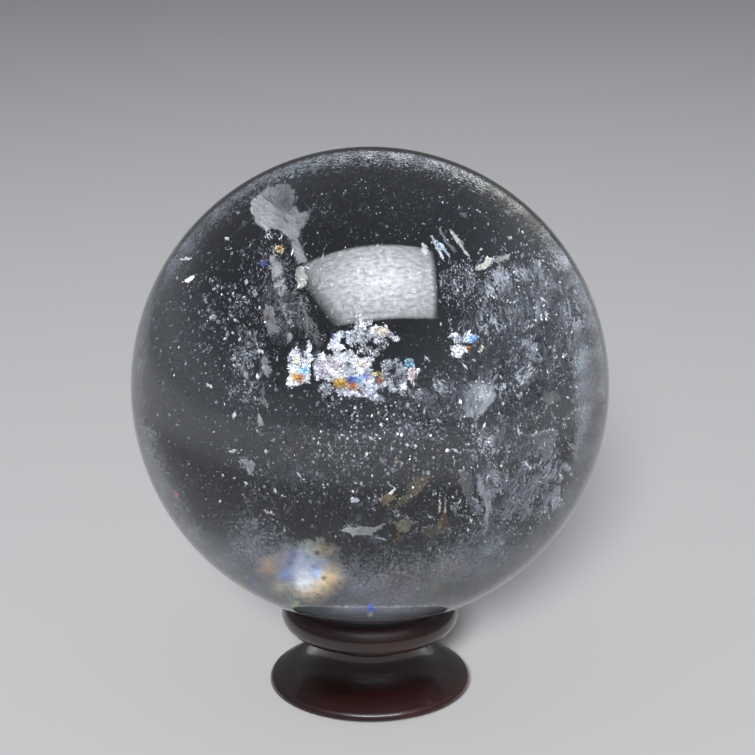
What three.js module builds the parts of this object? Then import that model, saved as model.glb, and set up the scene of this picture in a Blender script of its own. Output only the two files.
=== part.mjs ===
// A polished ball of clear quartz resting on a small turned wooden stand.
// Millimetres, +Z up. The origin is the centre of the stand's flat underside.

import * as THREE from "three";

// Driving dimensions of the ball
const SPHERE_DIAMETER = 75;
const SPHERE_RADIUS = SPHERE_DIAMETER / 2;
const SPHERE_HEIGHT = 1.36 * SPHERE_RADIUS; // its centre above the stand's underside
const SPHERE_AROUND = 72; // facets round its equator
const SPHERE_DOWN = 36; // facets from pole to pole

// Driving dimensions of the stand
const RIM_RADIUS = 0.385 * SPHERE_RADIUS; // outside of the upper rim
const BEAD_RADIUS = 0.245 * SPHERE_RADIUS; // outside of the bead round the waist
const WAIST_RADIUS = 0.225 * SPHERE_RADIUS; // thinnest part, just above and below the bead
const FOOT_RADIUS = 0.44 * SPHERE_RADIUS; // outside of the foot
const RIM_ROUND = 2.4; // radius of the upper rim's rounding
const BEAD_HEIGHT = 8.8; // middle of the bead above the underside
const BEAD_HALF = 0.6; // half the bead's thickness
const FOOT_TOP = 3.4; // where the foot's slope meets the lower cove
const FOOT_EDGE = 0.8; // upright lower edge of the foot
const FOOT_ROUND = 1.2; // radius of the rounding on top of that edge
const FOOT_TURN = 75; // degrees that the rounding turns through before the slope
const SEAT_GAP = 0.3; // between the ball and the dish that it rests in
const BEAD_TURN = 60; // degrees of the bead's bulge above and below its middle
const STAND_AROUND = 60; // facets round the stand
const ARC_STEPS = 4; // facets along a round stretch of the section

// Points of a round stretch about (x, y), from one angle to another in degrees
function arc(x, y, radiusX, radiusY, from, to, steps) {
  const points = [];
  for (let i = 0; i <= steps; i++) {
    const angle = THREE.MathUtils.degToRad(from + ((to - from) * i) / steps);
    points.push(
      new THREE.Vector2(x + radiusX * Math.cos(angle), y + radiusY * Math.sin(angle)),
    );
  }
  return points;
}

// Half section of the stand, from the middle of its underside round to the middle of the seat
function standProfile() {
  const rimCentre = RIM_RADIUS - RIM_ROUND;
  const dishRadius = SPHERE_RADIUS + SEAT_GAP;
  const rimTilt = Math.asin(rimCentre / (dishRadius + RIM_ROUND)); // where the rim meets the dish
  const rimHeight = SPHERE_HEIGHT - (dishRadius + RIM_ROUND) * Math.cos(rimTilt);
  const meeting = THREE.MathUtils.radToDeg(rimTilt);

  const beadBottom = BEAD_HEIGHT - BEAD_HALF;
  const beadTop = BEAD_HEIGHT + BEAD_HALF;
  const beadDepth = BEAD_RADIUS - WAIST_RADIUS;
  const lowerCove = beadBottom - FOOT_TOP;
  const upperCove = rimHeight - RIM_ROUND - beadTop;
  const coveReach = rimCentre - WAIST_RADIUS;

  const profile = [
    new THREE.Vector2(0, 0),
    new THREE.Vector2(FOOT_RADIUS, 0),
    ...arc(FOOT_RADIUS - FOOT_ROUND, FOOT_EDGE, FOOT_ROUND, FOOT_ROUND, 0, FOOT_TURN, ARC_STEPS),
    ...arc(WAIST_RADIUS + lowerCove, beadBottom, lowerCove, lowerCove, 270, 180, ARC_STEPS),
    ...arc(WAIST_RADIUS, BEAD_HEIGHT, beadDepth, BEAD_HALF, -BEAD_TURN, BEAD_TURN, ARC_STEPS),
    ...arc(rimCentre, beadTop, coveReach, upperCove, 180, 90, ARC_STEPS),
    ...arc(rimCentre, rimHeight, RIM_ROUND, RIM_ROUND, -90, 90 + meeting, 2 * ARC_STEPS).slice(1),
    ...arc(0, SPHERE_HEIGHT, dishRadius, dishRadius, meeting - 90, -90, ARC_STEPS).slice(1),
  ];
  profile[profile.length - 1].x = 0;
  return profile;
}

function makeSphere() {
  const geometry = new THREE.SphereGeometry(SPHERE_RADIUS, SPHERE_AROUND, SPHERE_DOWN);
  geometry.rotateX(Math.PI / 2);
  const material = new THREE.MeshStandardMaterial({
    color: 0xc9ced6,
    roughness: 0.03,
    metalness: 0,
    transparent: true,
    opacity: 0.45,
  });
  const sphere = new THREE.Mesh(geometry, material);
  sphere.name = "quartz_sphere";
  sphere.position.z = SPHERE_HEIGHT;
  return sphere;
}

function makeStand() {
  const geometry = new THREE.LatheGeometry(standProfile(), STAND_AROUND);
  geometry.rotateX(Math.PI / 2);
  const material = new THREE.MeshStandardMaterial({
    color: 0x35140f,
    roughness: 0.25,
    metalness: 0,
  });
  const stand = new THREE.Mesh(geometry, material);
  stand.name = "turned_stand";
  return stand;
}

const quartzOnStand = new THREE.Group();
quartzOnStand.add(makeStand(), makeSphere());

export default quartzOnStand;
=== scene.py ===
import math
import random

import bmesh
import bpy
from mathutils import Matrix, Vector, noise


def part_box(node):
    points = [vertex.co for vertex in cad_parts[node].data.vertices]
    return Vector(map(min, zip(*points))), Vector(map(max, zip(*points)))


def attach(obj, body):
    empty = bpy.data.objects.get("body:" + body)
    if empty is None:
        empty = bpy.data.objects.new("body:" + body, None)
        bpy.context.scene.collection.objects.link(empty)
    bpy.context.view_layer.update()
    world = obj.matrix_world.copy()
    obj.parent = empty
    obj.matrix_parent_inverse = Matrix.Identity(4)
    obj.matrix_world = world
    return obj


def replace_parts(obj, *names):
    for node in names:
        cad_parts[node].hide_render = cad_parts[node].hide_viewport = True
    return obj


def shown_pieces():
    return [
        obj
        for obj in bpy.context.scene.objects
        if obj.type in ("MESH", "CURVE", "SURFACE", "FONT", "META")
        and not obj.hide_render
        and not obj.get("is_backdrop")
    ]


noiseSeed = 4
noise.seed_set(noiseSeed)  # unseeded, its vectors would come from the clock
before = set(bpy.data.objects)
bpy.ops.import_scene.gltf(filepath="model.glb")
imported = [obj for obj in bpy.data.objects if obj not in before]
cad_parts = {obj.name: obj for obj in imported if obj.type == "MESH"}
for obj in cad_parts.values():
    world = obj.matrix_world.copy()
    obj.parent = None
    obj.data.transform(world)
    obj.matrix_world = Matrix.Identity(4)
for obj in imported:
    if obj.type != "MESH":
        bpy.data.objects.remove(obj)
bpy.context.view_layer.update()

ballLow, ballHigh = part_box("quartz_sphere")
ballRadius = (ballHigh[2] - ballLow[2]) / 2
ballCentre = Vector((0, 0, (ballHigh[2] + ballLow[2]) / 2))
millimetre = 0.001
quartzIndex = 1.544
print("frame loaded, ball radius", round(ballRadius, 4))

# The photograph's view. Places inside the stone are given as the photograph's pixels.

photoView = {
    "side": 755,  # pixels along the photograph's frame
    "ballX": 370.0,  # pixel of the ball's centre
    "ballY": 385.8,
    "ballPixels": 239.5,  # from there to its outline
    "elevation": 17.0,  # degrees that the camera looks down
    "distance": 8.0,  # from the camera to the ball's centre, in ball radii
    "sensor": 36.0,  # its width in millimetres
    "nearest": 0.01,  # metres between which the camera sees
    "farthest": 20.0,
    "rimShare": 0.992,  # pixels past this share of the outline are moved in to it
    "rimFade": 0.014,  # share over which films thin out before they reach it
    "deepest": 0.93,  # how deep a place may lie at the middle of the ball
    "rimRise": 0.58,  # and how much less deep at its rim
}

elevation = math.radians(photoView["elevation"])
sight = Vector((0, math.cos(elevation), -math.sin(elevation)))
sightUp = Vector((0, math.sin(elevation), math.cos(elevation)))
sightRight = Vector((1, 0, 0))
eye = ballCentre - sight * photoView["distance"] * ballRadius
focalPixels = photoView["ballPixels"] * math.sqrt(photoView["distance"] ** 2 - 1)


def makeCamera():
    data = bpy.data.cameras.new("photoCamera")
    data.sensor_width = photoView["sensor"]
    data.lens = photoView["sensor"] * focalPixels / photoView["side"]
    middle = photoView["side"] / 2
    data.shift_x = (middle - photoView["ballX"]) / photoView["side"]
    data.shift_y = (photoView["ballY"] - middle) / photoView["side"]
    data.clip_start = photoView["nearest"]
    data.clip_end = photoView["farthest"]
    camera = bpy.data.objects.new("photoCamera", data)
    camera.location = eye
    camera.rotation_mode = "QUATERNION"
    camera.rotation_quaternion = sight.to_track_quat("-Z", "Y")
    bpy.context.scene.collection.objects.link(camera)
    bpy.context.scene.camera = camera


def outwardShare(x, y):
    # 0 at the middle of the ball's outline, 1 on it
    return math.hypot(x - photoView["ballX"], y - photoView["ballY"]) / photoView["ballPixels"]


def placeInStone(x, y, depth):
    # follows a pixel's sight line into the ball, bent at the polished surface;
    # depth is 0 where the line enters the stone and 1 where it leaves
    across = (x - photoView["ballX"]) / focalPixels
    down = (y - photoView["ballY"]) / focalPixels
    outward = outwardShare(x, y)
    if outward > photoView["rimShare"]:
        across *= photoView["rimShare"] / outward
        down *= photoView["rimShare"] / outward
    # sight lines near the rim cross each other deep in the stone, so places stay before that
    depth = min(depth, photoView["deepest"] - photoView["rimRise"] * min(1.0, outward) ** 2)
    ray = (sight + sightRight * across - sightUp * down).normalized()
    fromCentre = eye - ballCentre
    missed = fromCentre - ray * ray.dot(fromCentre)
    entry = missed - ray * math.sqrt(ballRadius**2 - missed.length_squared)
    normal = entry / ballRadius
    facing = -normal.dot(ray)
    ratio = 1 / quartzIndex
    bent = ray * ratio + normal * (ratio * facing - math.sqrt(1 - ratio**2 * (1 - facing**2)))
    return ballCentre + entry - bent * 2 * bent.dot(entry) * depth


# Nodes, for materials and for shapes


def addNode(tree, kind, settings=None, inputs=None):
    node = tree.nodes.new(kind)
    for name, value in (settings or {}).items():
        setattr(node, name, value)
    for name, value in (inputs or {}).items():
        if isinstance(value, Wire):
            tree.links.new(value.socket, node.inputs[name])
        else:
            node.inputs[name].default_value = value
    return node


class Wire:
    # wraps an output socket, so that sums on values are written as Python expressions
    def __init__(self, tree, socket=None):
        self.tree = tree
        self.socket = socket

    def make(self, kind, settings=None, inputs=None, output=0):
        return Wire(self.tree, addNode(self.tree, kind, settings, inputs).outputs[output])

    def sum(self, operation, first, second, clamp=False):
        settings = {"operation": operation, "use_clamp": clamp}
        return self.make("ShaderNodeMath", settings, {0: first, 1: second})

    def __add__(self, other):
        return self.sum("ADD", self, other)

    def __radd__(self, other):
        return self.sum("ADD", other, self)

    def __sub__(self, other):
        return self.sum("SUBTRACT", self, other)

    def __rsub__(self, other):
        return self.sum("SUBTRACT", other, self)

    def __mul__(self, other):
        return self.sum("MULTIPLY", self, other)

    def __rmul__(self, other):
        return self.sum("MULTIPLY", other, self)

    def clamped(self):
        return self.sum("ADD", self, 0.0, clamp=True)

    def between(self, low, high):
        # 0 at low and 1 at high
        inputs = {"Value": self, "From Min": low, "From Max": high}
        return self.make("ShaderNodeMapRange", {"clamp": True}, inputs)

    def mixed(self, low, high):
        # from one colour to the other as this value goes from 0 to 1
        return self.make("ShaderNodeMix", {"data_type": "RGBA"}, {0: self, 6: low, 7: high}, 2)

    def scaled(self, amount):
        # a colour or vector times a value
        inputs = {"Vector": self, "Scale": amount}
        return self.make("ShaderNodeVectorMath", {"operation": "SCALE"}, inputs)

    def tinged(self, hues, amount):
        # a colour pushed towards each of the hues, which lie about a middle grey
        inputs = {0: hues, 1: (amount,) * 3, 2: (1 - amount / 2,) * 3}
        push = self.make("ShaderNodeVectorMath", {"operation": "MULTIPLY_ADD"}, inputs)
        return self.make("ShaderNodeVectorMath", {"operation": "MULTIPLY"}, {0: self, 1: push})


def startMaterial(name):
    material = bpy.data.materials.new(name)
    material.use_nodes = True
    material.node_tree.nodes.clear()
    return material, Wire(material.node_tree)


def endMaterial(start, **ends):
    addNode(start.tree, "ShaderNodeOutputMaterial", inputs=ends)


def readLayer(start, name, output="Fac"):
    # what the mesh holds at each point: a value, or a tint's "Color" or "Alpha"
    return start.make("ShaderNodeAttribute", {"attribute_name": name}, output=output)


def stoneNoise(start, scale, detail=3.0, roughness=0.55, stretch=(1, 1, 1), output=0):
    # output 0 is a value, output 1 a colour
    place = start.make("ShaderNodeTexCoord", output="Object")
    place = start.make("ShaderNodeMapping", inputs={"Vector": place, "Scale": stretch})
    inputs = {"Vector": place, "Scale": scale, "Detail": detail, "Roughness": roughness}
    return start.make("ShaderNodeTexNoise", inputs=inputs, output=output)


def startTree(name, sockets):
    # a geometry nodes tree with named inputs; gives its start and its inputs by name
    tree = bpy.data.node_groups.new(name, "GeometryNodeTree")
    for label, kind in {"Geometry": "Geometry", **sockets}.items():
        tree.interface.new_socket(label, in_out="INPUT", socket_type="NodeSocket" + kind)
    tree.interface.new_socket("Geometry", in_out="OUTPUT", socket_type="NodeSocketGeometry")
    outputs = addNode(tree, "NodeGroupInput").outputs
    return Wire(tree), {label: Wire(tree, outputs[label]) for label in ("Geometry", *sockets)}


def endTree(start, shape, finish, smooth):
    solid = start.make("GeometryNodeRealizeInstances", inputs={"Geometry": shape})
    inputs = {"Geometry": solid, "Shade Smooth": smooth}
    shaded = start.make("GeometryNodeSetShadeSmooth", inputs=inputs)
    inputs = {"Geometry": shaded, "Material": finish}
    finished = start.make("GeometryNodeSetMaterial", inputs=inputs)
    addNode(start.tree, "NodeGroupOutput", inputs={"Geometry": finished})
    return start.tree


def namedField(start, name, kind="FLOAT"):
    return start.make("GeometryNodeInputNamedAttribute", {"data_type": kind}, {"Name": name})


def growMesh(name, seeds, tree, values):
    holder = bpy.data.objects.new(name + "_seeds", seeds)
    bpy.context.scene.collection.objects.link(holder)
    modifier = holder.modifiers.new("grow", "NODES")
    modifier.node_group = tree
    for item in tree.interface.items_tree:
        if item.in_out == "INPUT" and item.name in values:
            modifier[item.identifier] = values[item.name]
    graph = bpy.context.evaluated_depsgraph_get()
    mesh = bpy.data.meshes.new_from_object(holder.evaluated_get(graph))
    mesh.name = name
    bpy.data.objects.remove(holder)
    return mesh


def addPiece(name, mesh):
    piece = bpy.data.objects.new(name, mesh)
    bpy.context.scene.collection.objects.link(piece)
    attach(piece, "root")
    print(name, len(mesh.polygons), "faces")
    return piece


# The room: a plain pale floor and soft lamps

room = {
    "floorSide": 24.0,
    "floorColour": (0.62, 0.62, 0.63, 1),
    "floorRoughness": 0.9,
    "floorGloss": 0.0,  # matte, so that it doesn't glare from behind the stone
    "surroundLow": (0.105, 0.107, 0.112, 1),  # at the floor's far edge
    "surroundHigh": (0.20, 0.205, 0.22, 1),
    "surroundHeight": 0.75,  # from here up, where straight up is 1
}
overheadLamp = {  # lights the stone and its stand, and is the bright patch on the ball
    "direction": (0.0, -0.44, 0.90),
    "distance": 0.45,
    "width": 0.47,
    "depth": 0.305,
    "turn": 8.0,
    "power": 4.4,
    "spread": 130.0,
}
softCloth = {  # the lamp's cloth, in shares of its width and depth
    "colour": (0.90, 0.94, 1.0, 1),
    "middle": (0.64, 0.50),
    "falloff": 0.95,
    "edge": 0.05,
    "leftEdge": 0.30,
    "leftSlant": 0.22,
    "weave": 22.0,
    "mottle": 1.9,
}
frontLamp = {  # low; lights the floor, and lays the ball's shadow behind it
    "direction": (-0.10, -0.90, 0.46),
    "distance": 2.20,
    "width": 0.50,
    "depth": 0.40,
    "turn": 0.0,
    "power": 6.2,
    "spread": 50.0,
}
flawLamp = {**frontLamp, "power": 14.0}  # from the same place, for the flaws deep in the stone
rearLamp = {  # lights the flaws from behind, for whoever walks round the stone
    "direction": (0.25, 0.85, 0.50),
    "distance": 1.40,
    "width": 0.40,
    "depth": 0.30,
    "turn": 0.0,
    "power": 9.0,
    "spread": 50.0,
}


def makeFloor():
    half = room["floorSide"] / 2
    mesh = bpy.data.meshes.new("paleFloor")
    corners = [(-half, -half, 0), (half, -half, 0), (half, half, 0), (-half, half, 0)]
    mesh.from_pydata(corners, [], [(0, 1, 2, 3)])
    floor = bpy.data.objects.new("paleFloor", mesh)
    bpy.context.scene.collection.objects.link(floor)
    material, start = startMaterial("paleFloorPaint")
    inputs = {
        "Base Color": room["floorColour"],
        "Roughness": room["floorRoughness"],
        "Specular IOR Level": room["floorGloss"],
    }
    endMaterial(start, Surface=start.make("ShaderNodeBsdfPrincipled", inputs=inputs))
    mesh.materials.append(material)
    floor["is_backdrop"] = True
    return floor


def makeLamp(name, facts, lit):
    data = bpy.data.lights.new(name, "AREA")
    data.shape = "RECTANGLE"
    data.size = facts["width"]
    data.size_y = facts["depth"]
    data.energy = facts["power"]
    data.spread = math.radians(facts["spread"])
    lamp = bpy.data.objects.new(name, data)
    direction = Vector(facts["direction"]).normalized()
    lamp.location = ballCentre + direction * facts["distance"]
    lamp.rotation_mode = "QUATERNION"
    turn = Matrix.Rotation(math.radians(facts["turn"]), 3, "Z").to_quaternion()
    lamp.rotation_quaternion = (-direction).to_track_quat("-Z", "Y") @ turn
    bpy.context.scene.collection.objects.link(lamp)
    reached = bpy.data.collections.new(name + "Reach")
    for thing in lit:
        reached.objects.link(thing)
    lamp.light_linking.receiver_collection = reached
    return data


def softenLamp(data):
    # cloth over the lamp: brightest near its middle, thinning out towards its left edge
    data.use_nodes = True
    data.node_tree.nodes.clear()
    start = Wire(data.node_tree)
    place = start.make("ShaderNodeNewGeometry", output="Parametric")
    across = start.make("ShaderNodeSeparateXYZ", inputs={0: place}, output="X")
    along = start.make("ShaderNodeSeparateXYZ", inputs={0: place}, output="Y")
    middle = (*softCloth["middle"], 0.0)
    reach = start.make("ShaderNodeVectorMath", {"operation": "DISTANCE"}, {0: place, 1: middle}, 1)
    edge = softCloth["edge"]
    left = across + along * softCloth["leftSlant"]
    light = 1.0 - reach * softCloth["falloff"]
    light = light * left.between(softCloth["leftSlant"] - edge, softCloth["leftEdge"])
    light = light * (1.0 - across).between(0.0, edge)
    light = light * along.between(0.0, edge) * (1.0 - along).between(0.0, edge)
    inputs = {"Vector": place, "Scale": softCloth["weave"], "Detail": 3.0}
    weave = start.make("ShaderNodeTexNoise", inputs=inputs)
    light = light * (1.0 + (weave - 0.5) * softCloth["mottle"])
    glow = start.make("ShaderNodeEmission", inputs={"Color": softCloth["colour"], "Strength": light})
    addNode(start.tree, "ShaderNodeOutputLight", inputs={"Surface": glow})


def makeSurround():
    # as light as the floor where they meet, and lighter overhead
    world = bpy.data.worlds.new("plainSurround")
    world.use_nodes = True
    world.node_tree.nodes.clear()
    start = Wire(world.node_tree)
    direction = start.make("ShaderNodeTexCoord", output="Generated")
    height = start.make("ShaderNodeSeparateXYZ", inputs={0: direction}, output="Z")
    height = height.between(0.0, room["surroundHeight"])
    colour = height.mixed(room["surroundLow"], room["surroundHigh"])
    glow = start.make("ShaderNodeBackground", inputs={"Color": colour})
    addNode(start.tree, "ShaderNodeOutputWorld", inputs={"Surface": glow})
    bpy.context.scene.world = world


# The polished ball, true to a hundredth of a millimetre, as one ground and polished by hand

ballFinish = {
    "divisions": 6,
    "waver": 0.012,  # millimetres that the polish dips below the true ball
    "waverScale": 70.0,
    "shadowTint": (0.95, 0.95, 0.96, 1),  # lamplight that goes on through the surface
    # the body's grey absorption is partly the milky flaws' own and partly painted shade, darker than
    # they give, for dark surroundings seen through the ball
    "absorbAndShadeColour": (0.515, 0.53, 0.555, 1),
    "absorbAndShadeDensity": 62.0,
    "hazeScale": 60.0,
    "hazeRange": (0.45, 0.8),  # the noise's values from fresh polish to the least fresh
    "hazeRough": 0.012,  # roughness where the polish is least fresh
}


def quartzMaterial():
    material, start = startMaterial("clearQuartz")
    haze = stoneNoise(start, ballFinish["hazeScale"], detail=2.0)
    inputs = {
        "Base Color": (1, 1, 1, 1),
        "Roughness": haze.between(*ballFinish["hazeRange"]) * ballFinish["hazeRough"],
        "IOR": quartzIndex,
        "Transmission Weight": 1.0,
    }
    glass = start.make("ShaderNodeBsdfPrincipled", inputs=inputs)
    passing = start.make("ShaderNodeBsdfTransparent", inputs={"Color": ballFinish["shadowTint"]})
    shadowRay = start.make("ShaderNodeLightPath", output="Is Shadow Ray")
    surface = start.make("ShaderNodeMixShader", inputs={0: shadowRay, 1: glass, 2: passing})
    # absorption: partly the flaws' milkiness, partly painted shade
    inputs = {"Color": ballFinish["absorbAndShadeColour"], "Density": ballFinish["absorbAndShadeDensity"]}
    body = start.make("ShaderNodeVolumeAbsorption", inputs=inputs)
    endMaterial(start, Surface=surface, Volume=body)
    return material


def ballTree():
    sockets = {
        "Radius": "Float",
        "Divisions": "Int",
        "Waver": "Float",
        "Waver Scale": "Float",
        "Centre": "Vector",
        "Finish": "Material",
    }
    start, given = startTree("polishedBall", sockets)
    inputs = {"Radius": given["Radius"], "Subdivisions": given["Divisions"]}
    trueBall = start.make("GeometryNodeMeshIcoSphere", inputs=inputs)
    inputs = {
        "Vector": start.make("GeometryNodeInputPosition"),
        "Scale": given["Waver Scale"],
        "Detail": 1.0,
    }
    dip = (start.make("ShaderNodeTexNoise", inputs=inputs) - 1.0) * given["Waver"]
    offset = start.make("GeometryNodeInputNormal").scaled(dip)
    ground = start.make("GeometryNodeSetPosition", inputs={"Geometry": trueBall, "Offset": offset})
    inputs = {"Geometry": ground, "Translation": given["Centre"]}
    placed = start.make("GeometryNodeTransform", inputs=inputs)
    return endTree(start, placed, given["Finish"], True)


def makeBall():
    values = {
        "Radius": ballRadius,
        "Divisions": ballFinish["divisions"],
        "Waver": ballFinish["waver"] * millimetre,
        "Waver Scale": ballFinish["waverScale"],
        "Centre": ballCentre,
        "Finish": quartzMaterial(),
    }
    mesh = growMesh("clear_ball", bpy.data.meshes.new("ballSeed"), ballTree(), values)
    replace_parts(addPiece("clear_ball", mesh), "quartz_sphere")


# The turned stand: the section's radii are shares of the ball's, its heights millimetres

standShape = {
    "rimRadius": 0.385,
    "beadRadius": 0.245,
    "waistRadius": 0.225,
    "footRadius": 0.44,
    "rimRound": 2.4,
    "beadHeight": 8.8,
    "beadHalf": 0.6,
    "footTop": 3.4,
    "footEdge": 0.8,
    "footRound": 1.2,
    "footTurn": 75,  # degrees
    "beadTurn": 60,
    "seatGap": 0.3,
    "edgeWear": 1.0,  # how rubbed the lacquer is on the foot's and the rim's roundings
    "beadWear": 0.8,
    "around": 144,
    "steps": 14,
    "sharpFrom": 40,  # degrees between two faces from which their edge stays sharp
    "mergeWithin": 1e-7,  # metres
}
lacquer = {
    "darkGrain": (0.009, 0.0022, 0.0022, 1),
    "paleGrain": (0.038, 0.0085, 0.0065, 1),
    "poreColour": (0.004, 0.0015, 0.0015, 1),
    "rubbedColour": (0.085, 0.022, 0.014, 1),
    "grain": {"scale": 260.0, "detail": 4.0, "roughness": 0.6, "stretch": (0.12, 1, 1)},
    "pores": {"scale": 1900.0, "detail": 1.0, "stretch": (0.08, 1, 1)},
    "smear": {"scale": 90.0, "detail": 3.0},
    "grainRange": (0.3, 0.7),  # the noise's values over which each goes from none to full
    "poreRange": (0.62, 0.72),
    "smearRange": (0.45, 0.75),
    "poreStrength": 0.7,
    "rubbedStrength": 0.7,
    "grainHeight": 0.4,
    "poreHeight": -0.6,
    "bumpStrength": 0.25,
    "bumpDistance": 0.00006,
    "smoothest": 0.30,
    "smearRough": 0.16,  # roughness that the smears add
    "coat": 0.85,
    "coatLost": 0.3,  # where it is rubbed
    "coatRough": 0.07,
}


def arc(x, y, radiusX, radiusY, start, end, wear=0.0):
    # points of a round stretch from one angle to another; wear is most at its middle
    steps = standShape["steps"]
    points = []
    for index in range(steps + 1):
        share = index / steps
        angle = math.radians(start + (end - start) * share)
        worn = wear * math.sin(math.pi * share)
        points.append((x + radiusX * math.cos(angle), y + radiusY * math.sin(angle), worn))
    return points


def standSection():
    radius = ballRadius / millimetre
    rim, bead, waist, foot = (
        standShape[key] * radius for key in ("rimRadius", "beadRadius", "waistRadius", "footRadius")
    )
    rimRound = standShape["rimRound"]
    footRound = standShape["footRound"]
    beadHeight, beadHalf = standShape["beadHeight"], standShape["beadHalf"]
    centre = ballCentre.z / millimetre
    rimCentre = rim - rimRound
    dish = radius + standShape["seatGap"]
    meeting = math.degrees(math.asin(rimCentre / (dish + rimRound)))
    rimHeight = centre - (dish + rimRound) * math.cos(math.radians(meeting))
    lowerCove = beadHeight - beadHalf - standShape["footTop"]
    upperCove = rimHeight - rimRound - beadHeight - beadHalf
    footTurn, beadTurn = standShape["footTurn"], standShape["beadTurn"]
    edgeWear, beadWear = standShape["edgeWear"], standShape["beadWear"]
    footEdge = standShape["footEdge"]
    return [
        (0, 0, 0),
        (foot - footRound, 0, 0),
        *arc(foot - footRound, footEdge, footRound, footRound, 0, footTurn, edgeWear),
        *arc(waist + lowerCove, beadHeight - beadHalf, lowerCove, lowerCove, 270, 180),
        *arc(waist, beadHeight, bead - waist, beadHalf, -beadTurn, beadTurn, beadWear),
        *arc(rimCentre, beadHeight + beadHalf, rimCentre - waist, upperCove, 180, 90),
        *arc(rimCentre, rimHeight, rimRound, rimRound, -90, 90 + meeting, edgeWear)[1:],
        *arc(0, centre, dish, dish, meeting - 90, -90)[1:-1],
        (0, centre - dish, 0),
    ]


def lacquerMaterial():
    material, start = startMaterial("redBrownLacquer")
    grain = stoneNoise(start, **lacquer["grain"])
    pores = stoneNoise(start, **lacquer["pores"]).between(*lacquer["poreRange"])
    smear = stoneNoise(start, **lacquer["smear"])
    wood = grain.between(*lacquer["grainRange"]).mixed(lacquer["darkGrain"], lacquer["paleGrain"])
    wood = (pores * lacquer["poreStrength"]).mixed(wood, lacquer["poreColour"])
    rubbed = readLayer(start, "wear") * smear.between(*lacquer["smearRange"])
    rubbed = (rubbed * lacquer["rubbedStrength"]).clamped()
    wood = rubbed.mixed(wood, lacquer["rubbedColour"])
    inputs = {
        "Strength": lacquer["bumpStrength"],
        "Distance": lacquer["bumpDistance"],
        "Height": grain * lacquer["grainHeight"] + pores * lacquer["poreHeight"],
    }
    bump = start.make("ShaderNodeBump", inputs=inputs)
    inputs = {
        "Base Color": wood,
        "Roughness": lacquer["smoothest"] + smear * lacquer["smearRough"],
        "Coat Weight": lacquer["coat"] - rubbed * lacquer["coatLost"],
        "Coat Roughness": lacquer["coatRough"],
        "Normal": bump,
    }
    endMaterial(start, Surface=start.make("ShaderNodeBsdfPrincipled", inputs=inputs))
    return material


def makeStand():
    section = standSection()
    around = standShape["around"]
    shell = bmesh.new()
    wearLayer = shell.verts.layers.float.new("wear")
    rings = []
    for radius, height, worn in section:
        ring = []
        for index in range(around if radius > 0 else 1):
            angle = 2 * math.pi * index / around
            spot = Vector((radius * math.cos(angle), radius * math.sin(angle), height))
            vertex = shell.verts.new(spot * millimetre)
            vertex[wearLayer] = worn
            ring.append(vertex)
        rings.append(ring)
    for lower, upper in zip(rings, rings[1:]):
        for index in range(around):
            corners = []
            for ring, place in ((lower, index), (lower, index + 1), (upper, index + 1), (upper, index)):
                corner = ring[place % len(ring)]
                if corner not in corners:
                    corners.append(corner)
            shell.faces.new(corners)
    bmesh.ops.remove_doubles(shell, verts=shell.verts, dist=standShape["mergeWithin"])
    bmesh.ops.recalc_face_normals(shell, faces=shell.faces)
    for face in shell.faces:
        # the underside alone is left flat
        face.smooth = face.calc_center_median().z > standShape["mergeWithin"]
    sharpFrom = math.radians(standShape["sharpFrom"])
    for edge in shell.edges:
        if len(edge.link_faces) == 2 and edge.calc_face_angle() > sharpFrom:
            edge.smooth = False
    mesh = bpy.data.meshes.new("lacquered_stand")
    shell.to_mesh(mesh)
    shell.free()
    mesh.materials.append(lacquerMaterial())
    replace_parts(addPiece("lacquered_stand", mesh), "turned_stand")


# Films: healed fractures and plates drawn over the photograph's pixels, with ragged outlines,
# and laid back into the stone. Each shape may replace any of these values.

filmShape = {
    "depth": 0.45,
    "slantX": 0.0,  # how fast the depth grows from pixel to pixel
    "slantY": 0.0,
    "anyDepth": 0.06,  # how much deeper or less deep it may lie, at random
    "anySlant": 0.003,  # how much it may slant besides, at random
    "ripple": 0.012,  # how far the depth wanders
    "crumple": 0.0,
    "step": 1.5,  # pixels between a film's points
    "soft": 4.0,  # pixels over which it thins out at its edge
    "ragged": 2.0,  # pixels that its outline wanders
    "tint": (0.62, 0.64, 0.68),
    "accents": (),  # x, y, radius and colour of spots in another colour
    "blend": 0.6,  # how softly those spots fade: above 1 is soft, below 1 is crisp
    "cover": 1.0,
    "glow": 0.0,  # painted light: emission that lightens it beyond what the lamps give
    "grains": 0.0,  # crystals on a square pixel
    "grainSize": (0.04, 0.12),  # millimetres
    "grainStretch": (1.0, 2.2),
    "lean": 0.0,  # degrees that the crystals lean to the right
    "leanSpread": 25.0,
    "crowding": 0.25,  # how much the crystals keep to loose crowds
    "shades": (0.7, 1.5),  # their lightness against the film's
    "paintedGlint": 0.04,  # painted glint: emission that stands in for the lamps' glint on them
}
filmThickness = 0.05  # millimetres
bandStep = 6  # degrees between a band's points
ovalPoints = 20
uneven = {  # each noise's scale over pixels, and how far it goes on from the front to the back
    "drift": (0.16, 15),
    "fine": (0.6, 9),
    "ripple": (0.05, 7),
    "crease": (0.45, 70),
    "crowd": (0.12, 31),
    "facetScale": 0.7,
    "facetLayer": 3.0,
    "fineShare": 0.6,  # how far outlines wander finely, against their drift
    "facetShare": 0.6,  # how much facets crumple a film, against its creases
    "shallowest": 0.04,
    "deepest": 0.96,
}
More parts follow.
